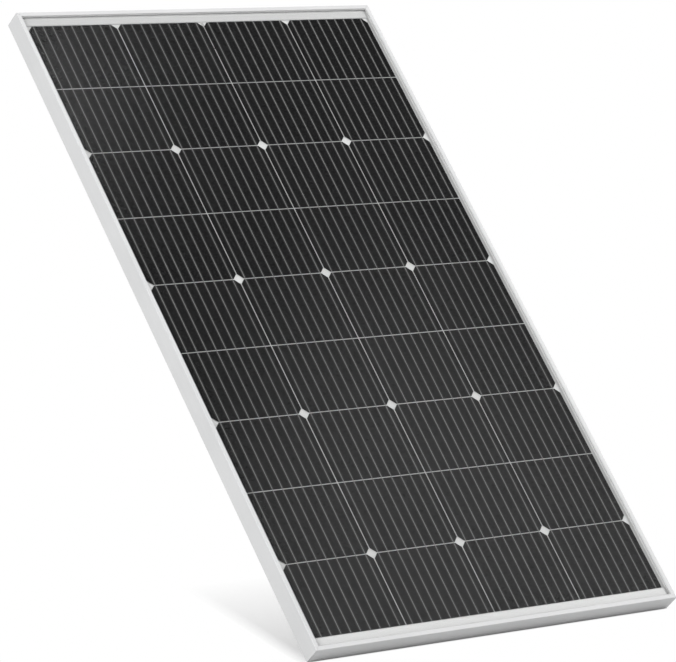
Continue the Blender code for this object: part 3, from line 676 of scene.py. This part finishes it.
def dress_frame(white_film, sealant):
    """Gives every CAD node that stays in view its finish, by the start of the node's name."""
    drawn_out = 0.004
    long_rail = anodised_aluminium("anodised_long_rail", (1, drawn_out, 1))
    short_rail = anodised_aluminium("anodised_short_rail", (drawn_out, 1, 1))
    black = moulded_black()
    finishes = {
        "frame_rail_left": long_rail,
        "frame_rail_right": long_rail,
        "frame_rail_top": short_rail,
        "frame_rail_bottom": short_rail,
        "corner_key": cast_metal(),
        "cell": cell_silicon(),
        "bus_ribbon": tinned_copper(),
        "backsheet": white_backsheet(),
        "rear_encapsulant": white_film,
        "edge_seal": sealant,
        "junction_box": black,
        "gland_nut": black,
        "bypass_diode": diode_epoxy(),
    }
    for name, node in frame["nodes"].items():
        for start, finish in finishes.items():
            if name.startswith(start):
                node.data.materials.clear()
                node.data.materials.append(finish)


def add_fittings(white_film, sealant):
    """The pieces that only the looks need: clear sheet, strips, beads, screws and gasket."""
    add_clear_laminate(cover_glass())
    # Painted shade: the top strip is the white film painted darker, and lighter towards the lip as
    # painted light.
    shaded_top_cover = inner_white("shaded_top_cover", 0.46, 0.51, 5 * MM)
    add_bus_covers({"bottom": white_film, "top": shaded_top_cover})
    # The front bead's grey is partly painted shade, for the shaded step where the glass meets the lip.
    add_front_seal(silicone_sealant("grey_sealant", 0.40, 0.46))
    add_rear_seal(sealant)
    add_box_glue(sealant)
    add_terminal_screws(plated_screw())
    add_lid_gasket(sealant)


def seen_directly(start):
    """1 for rays that show the background to the camera, straight, by gloss or through glass."""
    kinds = ("Is Camera Ray", "Is Glossy Ray", "Is Transmission Ray")
    return largest(*(start.node("LightPath", {}, {}, kind) for kind in kinds))


def pale_floor():
    """White to the eye but for a soft shadow behind the panel's foot, and duller to the panel itself.

    The shadow shows only inside a painted wedge that narrows and fades as it goes back.
    """
    material, start = blended_finish("pale_floor")
    seen = seen_directly(start)
    paint = mix(seen, grey(FLOOR_TONE), grey(SHADED_TONE))
    lit = start.node("BsdfDiffuse", {}, {"Color": paint})
    glow = start.node("Emission", {}, {"Strength": 1.0})
    place = start.node("TexCoord", {}, {}, "Object")
    foot_y = cad_box[0].y + FRAME_DEPTH * math.sin(TILT)
    foot_end = cad_box[1].x
    behind = place.axis("Y") - foot_y
    inside = foot_end - abs(place.axis("X")) - behind * SHADOW_TAPER
    # Painted shadow: the wedge's outline and fading are a formula, and inside it the floor's own shading
    # shows.
    wedge = inside.ramp(-SHADOW_EDGE, SHADOW_EDGE) * behind.ramp(-CONTACT_EDGE, 0)
    shade = wedge * behind.ramp(SHADOW_END, SHADOW_START)
    show_blend(material, seen * (1 - shade), lit, glow)
    return material


def add_floor():
    """A wide flat floor at the level of the panel's lowest edge."""
    mesh = bpy.data.meshes.new("floor")
    signs = ((-1, -1), (1, -1), (1, 1), (-1, 1))
    corners = [(x * FLOOR_HALF, y * FLOOR_HALF, cad_box[0].z) for x, y in signs]
    mesh.from_pydata(corners, [], [(0, 1, 2, 3)])
    mesh.materials.append(pale_floor())
    floor = add_object("floor", mesh)


def add_sky():
    """White to the eye, and an even soft light on everything else."""
    world = bpy.data.worlds.new("studio")
    bpy.context.scene.world = world
    world.use_nodes = True
    tree = world.node_tree
    strength = seen_directly(Wire(tree)) * (1 - SKY) + SKY
    sky = tree.nodes["Background"]
    sky.inputs["Color"].default_value = (1, 1, 1, 1)
    tree.links.new(strength.socket, sky.inputs["Strength"])


def put(thing, place, turn):
    """Sets an object's place and its turn, in the row frame."""
    thing.location = place
    thing.rotation_mode = "QUATERNION"
    thing.rotation_quaternion = turn


def add_softbox(name, place, turn, size, power):
    """A rectangular lamp, shining along its own -Z."""
    light = bpy.data.lights.new(name, "AREA")
    light.shape = "RECTANGLE"
    light.size, light.size_y = size
    light.energy = power
    put(add_object(name, light), place, turn)


def add_lights():
    """A key from the left, and two soft boxes that the glass mirrors as a sheen with a dark band."""
    add_softbox("key", KEY_PLACE, (-KEY_PLACE).to_track_quat("-Z", "Y"), KEY_SIZE, KEY_POWER)
    square_on = Matrix.Rotation(TILT, 3, "X") @ Matrix.Rotation(SHEEN_TURN, 3, "Z")
    sheens = (
        ("sheen_low", (1.92, 0.42), (1.35, 2.45), 47),
        ("sheen_corner", (1.17, 2.13), (0.78, 1.23), 32),
    )
    for name, (x, y), size, power in sheens:
        place = leaned(np.array([x, y, SHEEN_HEIGHT]))
        add_softbox(name, place, square_on.to_quaternion(), size, power)


def add_camera():
    """The photo's camera: its lens from the focal length in pixels, and its place from two angles."""
    data = bpy.data.cameras.new("camera")
    data.sensor_width = SENSOR
    data.lens = FOCAL_PIXELS * SENSOR / PHOTO_WIDTH
    camera = add_object("camera", data)
    level = math.cos(CAMERA_HEIGHT_ANGLE)
    back = Vector(
        (
            level * math.sin(CAMERA_AZIMUTH),
            -level * math.cos(CAMERA_AZIMUTH),
            math.sin(CAMERA_HEIGHT_ANGLE),
        )
    )
    put(camera, CAMERA_AIM + back * CAMERA_DISTANCE, (-back).to_track_quat("-Z", "Y"))
    bpy.context.scene.camera = camera


film = inner_white("white_film", 0.59, 0.64, 0)
pale_sealant = silicone_sealant("pale_sealant", 0.74, 0.82)
dress_frame(film, pale_sealant)
add_fittings(film, pale_sealant)
add_floor()
add_sky()
add_lights()
add_camera()
bpy.context.scene.view_settings.view_transform = "Standard"
